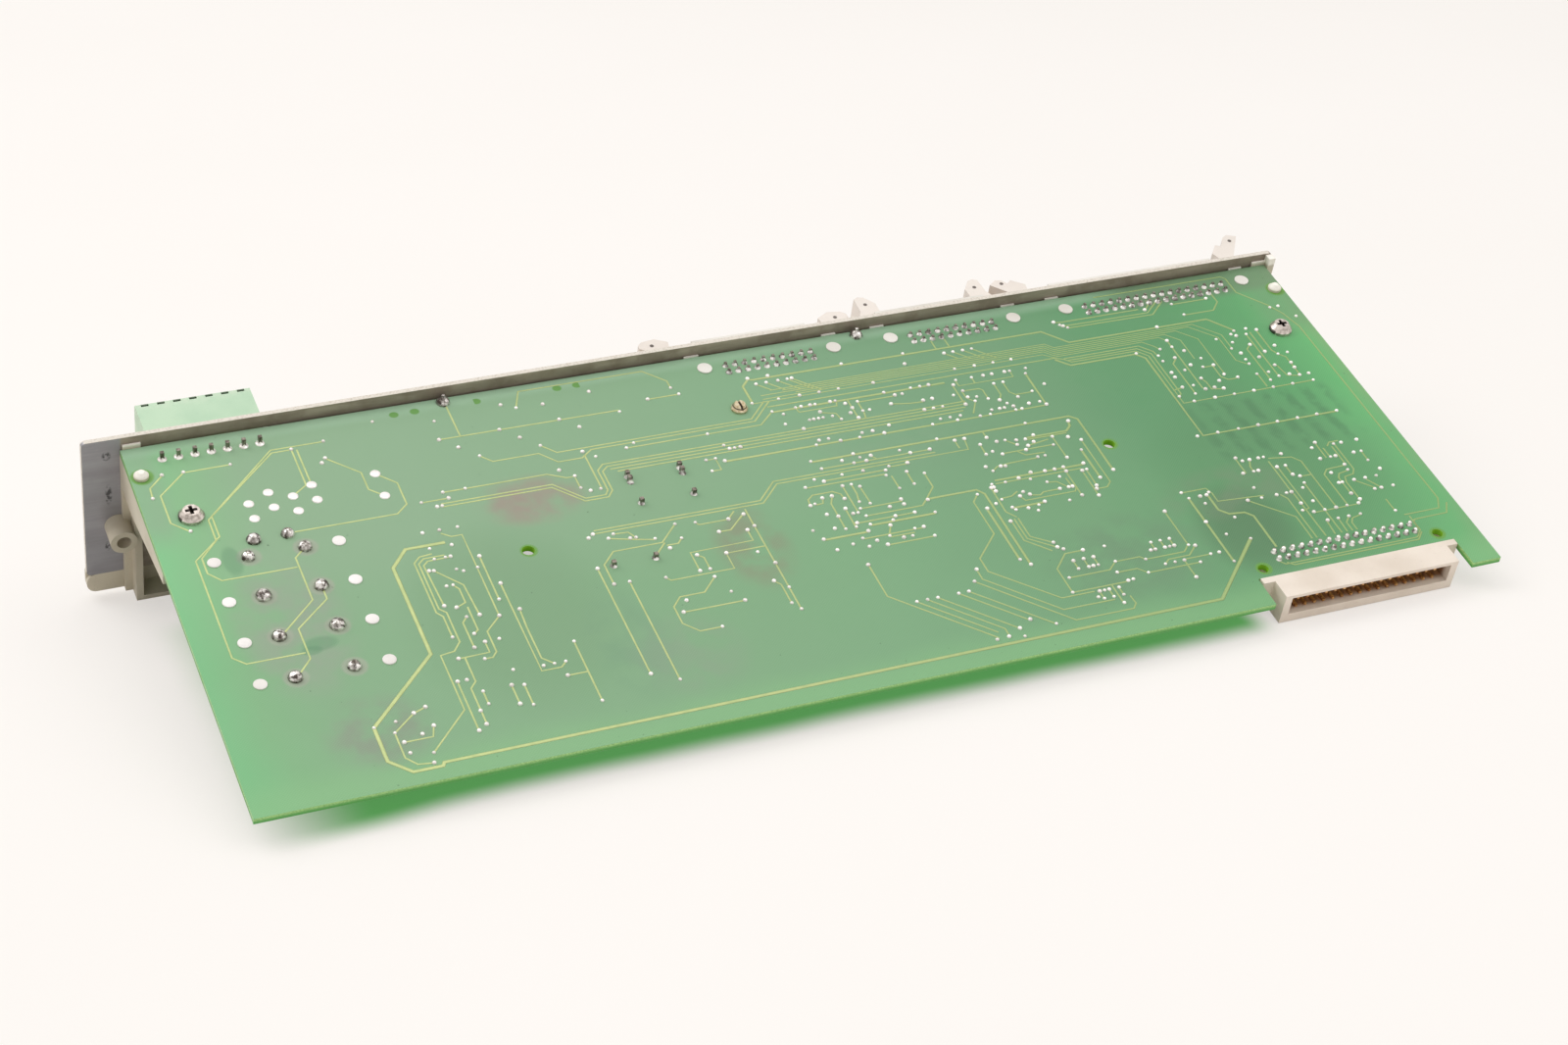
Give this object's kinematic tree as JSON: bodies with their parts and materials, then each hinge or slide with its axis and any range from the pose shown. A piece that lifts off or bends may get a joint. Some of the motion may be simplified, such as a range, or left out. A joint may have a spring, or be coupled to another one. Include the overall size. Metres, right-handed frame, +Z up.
{
  "type": "interface board",
  "caption": "Plug-in interface circuit board with a front panel, latching box headers, a plug-in terminal block and a rear bus connector, solder side up.",
  "frame": {"origin": "middle of the bounding box on the surface that the card lies on", "axes": "+X along the board, terminal block at -X; +Y towards the front panel; +Z up, the solder side up and leaning towards -Y"},
  "size_m": [0.316, 0.1324, 0.0468],
  "materials": {
    "bus_plastic": "moulded beige plastic",
    "can_sleeve": "dark blue sleeve on an aluminium can",
    "choke_plastic": "black potting shell",
    "connector_plastic": "moulded pale grey connector plastic",
    "film_case": "glossy red-brown case",
    "gold_contact": "gold-plated contact metal",
    "ivory_plastic": "moulded ivory plastic",
    "laminate": "green solder mask on glass-epoxy laminate",
    "latch_plastic": "moulded white plastic",
    "package_plastic": "black moulding compound",
    "panel_aluminium": "bare brushed aluminium, smudged",
    "relay_case": "glossy dark case",
    "steel": "zinc-plated steel",
    "terminal_plastic": "moulded light green plastic",
    "tinned_pin": "tinned contact metal"
  },
  "bodies": {
    "card": {"circuit_board": "laminate", "front_panel": "panel_aluminium", "bottom_rail": "ivory_plastic", "left_bracket": "ivory_plastic", "right_bracket": "ivory_plastic", "bracket_screws": "steel", "slotted_screw": "steel", "screw_nut": "steel", "header_housing_a": "connector_plastic", "header_pins_a": "tinned_pin", "header_housing_b": "connector_plastic", "header_pins_b": "tinned_pin", "header_housing_c": "connector_plastic", "header_pins_c": "tinned_pin", "terminal_header": "terminal_plastic", "terminal_pins": "tinned_pin", "terminal_plug": "terminal_plastic", "clamp_screws": "steel", "bus_connector": "bus_plastic", "bus_contacts": "gold_contact", "choke_1": "choke_plastic", "choke_2": "choke_plastic", "choke_3": "choke_plastic", "choke_4": "choke_plastic", "heavy_leads": "tinned_pin", "filter_coil": "choke_plastic", "control_relay": "relay_case", "dc_converter": "relay_case", "film_capacitor": "film_case", "capacitor_1": "can_sleeve", "capacitor_2": "can_sleeve", "regulator": "package_plastic", "package_1": "package_plastic", "package_2": "package_plastic", "package_3": "package_plastic", "package_4": "package_plastic", "package_5": "package_plastic", "package_6": "package_plastic", "input_capacitor_1": "film_case", "input_capacitor_2": "film_case", "input_capacitor_3": "film_case", "input_capacitor_4": "film_case", "input_capacitor_5": "film_case", "input_capacitor_6": "film_case", "input_capacitor_7": "film_case", "network_1": "package_plastic", "network_2": "package_plastic", "network_3": "package_plastic"},
    "lever_a_left": {"latch_a_left": "latch_plastic"},
    "lever_a_right": {"latch_a_right": "latch_plastic"},
    "lever_b_left": {"latch_b_left": "latch_plastic"},
    "lever_b_right": {"latch_b_right": "latch_plastic"},
    "lever_c_left": {"latch_c_left": "latch_plastic"},
    "lever_c_right": {"latch_c_right": "latch_plastic"}
  },
  "joints": [
    {"name": "latch_a_left_swing", "type": "hinge", "parent": "card", "child": "lever_a_left", "pos_m": [-0.0075, 0.05183, 0.03822], "axis": [0, -0.3015, 0.9535], "range_deg": [-61, 9]},
    {"name": "latch_a_right_swing", "type": "hinge", "parent": "card", "child": "lever_a_right", "pos_m": [0.02836, 0.05183, 0.03822], "axis": [0, 0.3015, -0.9535], "range_deg": [-63, 7]},
    {"name": "latch_b_left_swing", "type": "hinge", "parent": "card", "child": "lever_b_left", "pos_m": [0.0429, 0.05183, 0.03822], "axis": [0, -0.3015, 0.9535], "range_deg": [0, 26]},
    {"name": "latch_b_right_swing", "type": "hinge", "parent": "card", "child": "lever_b_right", "pos_m": [0.07876, 0.05183, 0.03822], "axis": [0, 0.3015, -0.9535], "range_deg": [0, 10]},
    {"name": "latch_c_left_swing", "type": "hinge", "parent": "card", "child": "lever_c_left", "pos_m": [0.0927, 0.05183, 0.03822], "axis": [0, -0.3015, 0.9535], "range_deg": [-58, 2]},
    {"name": "latch_c_right_swing", "type": "hinge", "parent": "card", "child": "lever_c_right", "pos_m": [0.14634, 0.05183, 0.03822], "axis": [0, 0.3015, -0.9535], "range_deg": [-45, 25]}
  ]
}
